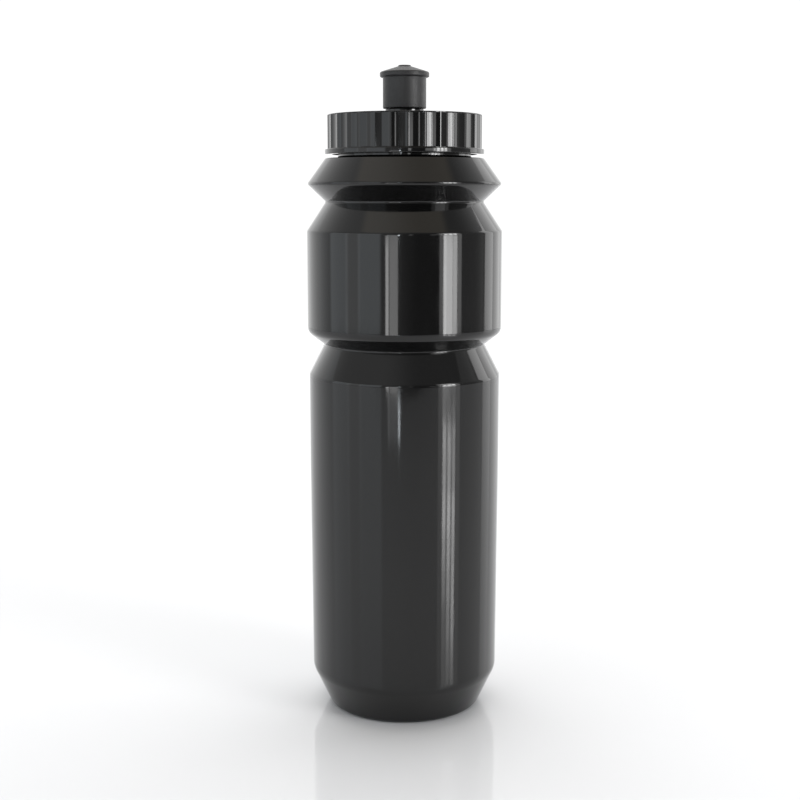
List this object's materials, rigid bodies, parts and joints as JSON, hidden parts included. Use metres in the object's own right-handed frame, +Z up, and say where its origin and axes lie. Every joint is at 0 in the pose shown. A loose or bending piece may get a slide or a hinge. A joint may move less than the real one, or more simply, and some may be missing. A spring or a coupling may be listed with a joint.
{
  "type": "sports squeeze bottle",
  "caption": "Tall gloss black squeeze bottle with cage groove, fluted screw cap and push-pull drinking nozzle with a soft matt mouthpiece.",
  "frame": {"origin": "centre of the foot ring on the surface the bottle stands on", "axes": "+Z up along the axis of the bottle; -Y is the front"},
  "size_m": [0.074, 0.074, 0.246],
  "materials": {
    "bottle_gloss": "polished blow-moulded polyethylene, opaque black",
    "cap_gloss": "high-gloss injection-moulded polypropylene, black",
    "gasket_silicone": "natural milky silicone, satin",
    "black_seal": "black silicone, smooth satin",
    "nozzle_hard": "black polypropylene, satin",
    "mouthpiece_soft": "soft matt black thermoplastic elastomer, very fine grain"
  },
  "bodies": {
    "bottle": {"bottle_body": "bottle_gloss"},
    "seal": {"cap_gasket": "gasket_silicone"},
    "cap": {"screw_cap": "cap_gloss", "valve_stem": "cap_gloss", "stem_o_ring": "black_seal"},
    "nozzle": {"nozzle_core": "nozzle_hard", "mouthpiece": "mouthpiece_soft", "valve_membrane": "black_seal", "membrane_ring": "nozzle_hard"}
  },
  "joints": [
    {"name": "cap_lift", "type": "slide", "parent": "bottle", "child": "seal", "axis": [0, 0, 1], "range_m": [0, 0.01501]},
    {"name": "cap_turn", "type": "hinge", "parent": "seal", "child": "cap", "pos_m": [0, 0, 0.2133], "axis": [0, 0, 1], "range_deg": [0, 1080]},
    {"name": "nozzle_pull", "type": "slide", "parent": "cap", "child": "nozzle", "axis": [0, 0, 1], "range_m": [0, 0.007]}
  ],
  "couplings": [
    {"joint": "cap_lift", "follows": "cap_turn", "m_per_rad": 0.00079577}
  ]
}
